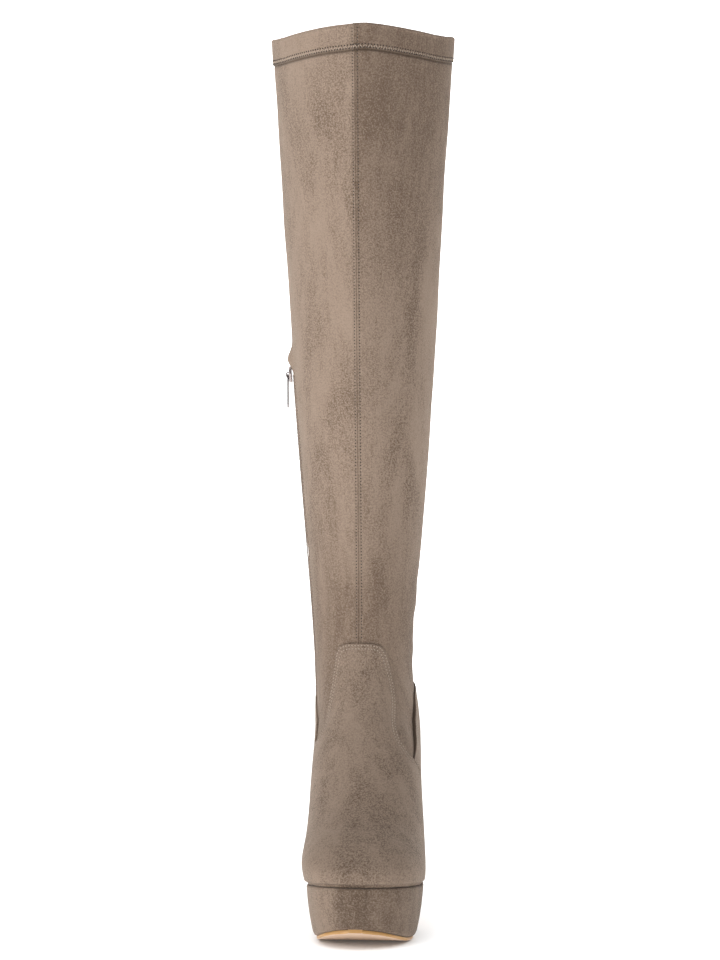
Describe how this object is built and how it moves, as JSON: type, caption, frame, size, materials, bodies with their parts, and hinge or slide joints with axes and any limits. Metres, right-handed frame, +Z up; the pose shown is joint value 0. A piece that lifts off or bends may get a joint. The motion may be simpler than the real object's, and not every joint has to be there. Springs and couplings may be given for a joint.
{
  "type": "thigh high boot",
  "caption": "Left thigh high boot in taupe faux suede with a platform, a covered block heel, a tan sole and a short inside zip.",
  "frame": {"origin": "middle of the footprint box, on the floor that the boot stands on", "axes": "+Z up the shaft, -Y to the toe, +X to the outer side of the foot; the zip is at -X"},
  "size_m": [0.1476, 0.2354, 0.7001],
  "materials": {
    "suede": "taupe faux suede, matt and napped, with a lighter and a darker stroke",
    "suede_vamp": "taupe faux suede on the vamp, matt and napped",
    "suede_quarter": "taupe faux suede on the quarter, matt and napped",
    "suede_platform": "taupe faux suede wrapped over the platform",
    "suede_heel": "taupe faux suede wrapped over the heel",
    "insole_sock": "soft sock on the insole board, matt",
    "tan_sole": "tan synthetic sole, half matt, lighter underneath",
    "tip_rubber": "dark hard rubber top piece, matt",
    "zip_chain": "woven tape and nylon coil in the suede's colour",
    "slider_nickel": "nickel-plated slider, satin",
    "tab_nickel": "nickel-plated pull tab, satin, a little warm"
  },
  "bodies": {
    "boot": {"upper": "suede", "vamp": "suede_vamp", "quarter": "suede_quarter", "insole": "insole_sock", "platform": "suede_platform", "outsole": "tan_sole", "heel": "suede_heel", "heel_tip": "tip_rubber", "zip": "zip_chain", "zip_slider": "slider_nickel"},
    "pull_tab": {"pull_tab": "tab_nickel"}
  },
  "joints": [
    {"name": "tab_swing", "type": "hinge", "parent": "boot", "child": "pull_tab", "pos_m": [-0.06124, 0.05168, 0.43168], "axis": [0, 1, 0], "range_deg": [-2, 150]}
  ]
}
